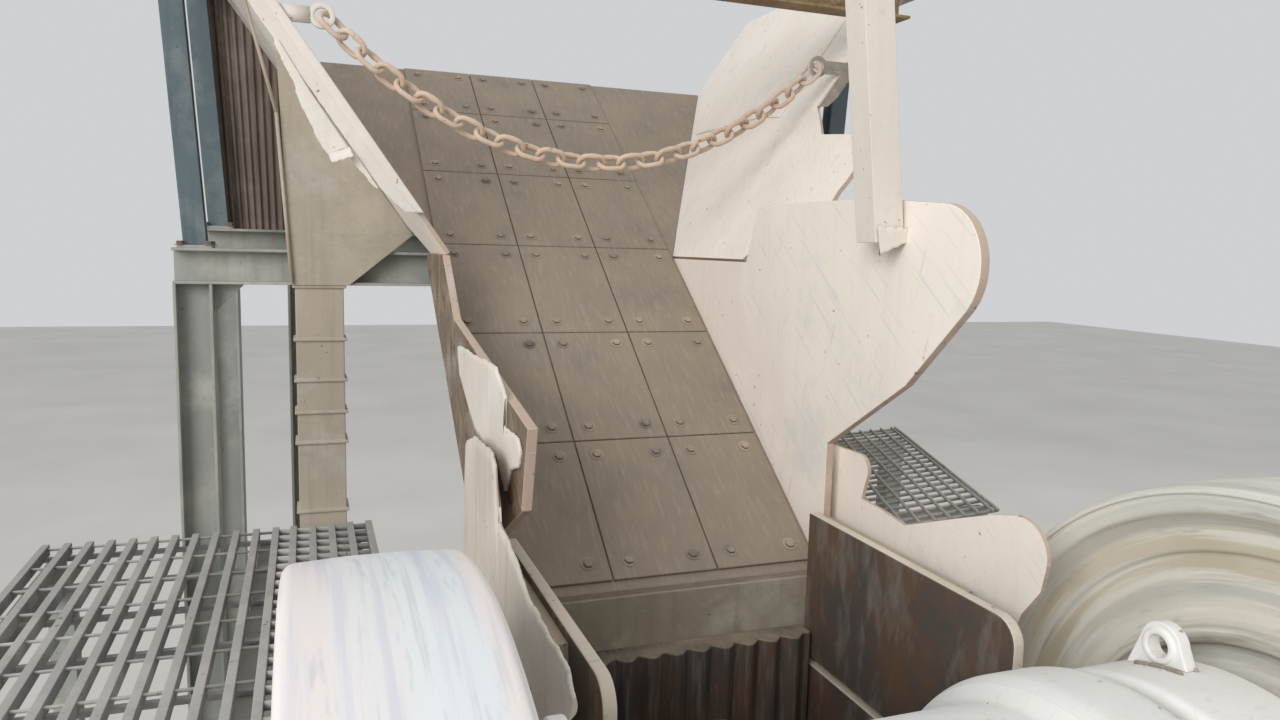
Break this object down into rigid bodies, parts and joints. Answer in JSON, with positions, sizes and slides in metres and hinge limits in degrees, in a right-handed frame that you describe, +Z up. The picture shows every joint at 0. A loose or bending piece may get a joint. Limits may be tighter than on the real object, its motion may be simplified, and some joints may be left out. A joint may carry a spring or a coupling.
{
  "type": "jaw crusher with feed chute and hopper",
  "caption": "Fixed jaw crusher with flywheels on an eccentric shaft, swing jaw and toggle, a flared feed hopper on a steel frame, a guard chain and side walkways.",
  "frame": {"origin": "on the floor, at the centre of the four foundation bolts", "axes": "+X to the crusher's right along its shaft, +Y towards the feed hopper, +Z up"},
  "size_m": [3.616, 4.6377, 4.07],
  "materials": {
    "frame_paint": "dusty, worn",
    "foot_steel": "dusty, rust-stained",
    "manganese_steel": "worn bright on the tips",
    "housing_paint": "pinkish beige dust over paint",
    "toggle_iron": "rough, dusty",
    "pitman_paint": "pale grey, smooth",
    "wheel_paint_left": "pale, rubbed smooth",
    "wheel_paint_right": "grey-green under beige dust",
    "shaft_steel": "turned",
    "skirt_brown": "rusty, torn edge",
    "chute_cream": "cream dust, scratched",
    "chute_brown": "rusty brown",
    "floor_steel": "scoured by stone",
    "flange_cream": "pale, torn",
    "angle_grey": "dusty grey-brown",
    "beam_rust": "rusty",
    "chain_rust": "dusty rust",
    "support_paint": "grey-green, dusty",
    "pier_paint": "beige dust",
    "gusset_paint": "grey-beige",
    "post_blue": "blue-grey, dusty",
    "sheet_rust": "brown with rust streaks",
    "grating_steel": "dusty steel",
    "mesh_steel": "dusty steel",
    "rod_steel": "dusty",
    "spring_steel": "dark, dusty"
  },
  "bodies": {
    "frame": {"foot_rails": "foot_steel", "side_wall_left": "frame_paint", "side_wall_right": "frame_paint", "front_wall": "frame_paint", "rear_wall": "frame_paint", "fixed_jaw_plate": "manganese_steel", "cheek_plates": "manganese_steel", "bearing_bases": "housing_paint", "bearing_caps": "housing_paint", "lifting_lugs": "housing_paint", "toggle_seat": "toggle_iron", "toggle_shims": "toggle_iron", "toggle_plate": "toggle_iron", "skirt_left": "skirt_brown", "skirt_right": "chute_cream", "chute_side_left": "chute_brown", "chute_patch": "chute_cream", "chute_side_right": "chute_cream", "chute_floor": "floor_steel", "hopper_wall_left": "chute_cream", "hopper_wall_right": "chute_cream", "mouth_flange_left": "flange_cream", "mouth_flange_right": "angle_grey", "tie_beam": "beam_rust", "guard_post": "flange_cream", "chain": "chain_rust", "cross_beams": "support_paint", "support_legs": "support_paint", "piers": "pier_paint", "floor_props": "support_paint", "gussets": "gusset_paint", "blue_posts": "post_blue", "rim_beams": "support_paint", "side_sheets": "sheet_rust", "grating_left": "grating_steel", "mesh_right": "mesh_steel", "walkway_beams": "support_paint", "walkway_legs": "support_paint"},
    "rotor": {"eccentric_shaft": "shaft_steel", "flywheel_left": "wheel_paint_left", "flywheel_right": "wheel_paint_right"},
    "swing_jaw": {"pitman": "pitman_paint", "swing_jaw_plate": "manganese_steel", "tension_rods": "rod_steel", "tension_springs": "spring_steel"}
  },
  "joints": [
    {"name": "shaft_spin", "type": "hinge", "parent": "frame", "child": "rotor", "pos_m": [0, -0.375, 1.55], "axis": [1, 0, 0], "continuous": true},
    {"name": "pitman_orbit", "type": "hinge", "parent": "rotor", "child": "swing_jaw", "pos_m": [0, -0.375, 1.531], "axis": [1, 0, 0], "continuous": true}
  ],
  "couplings": [
    {"joint": "pitman_orbit", "follows": "shaft_spin", "ratio": -1}
  ]
}
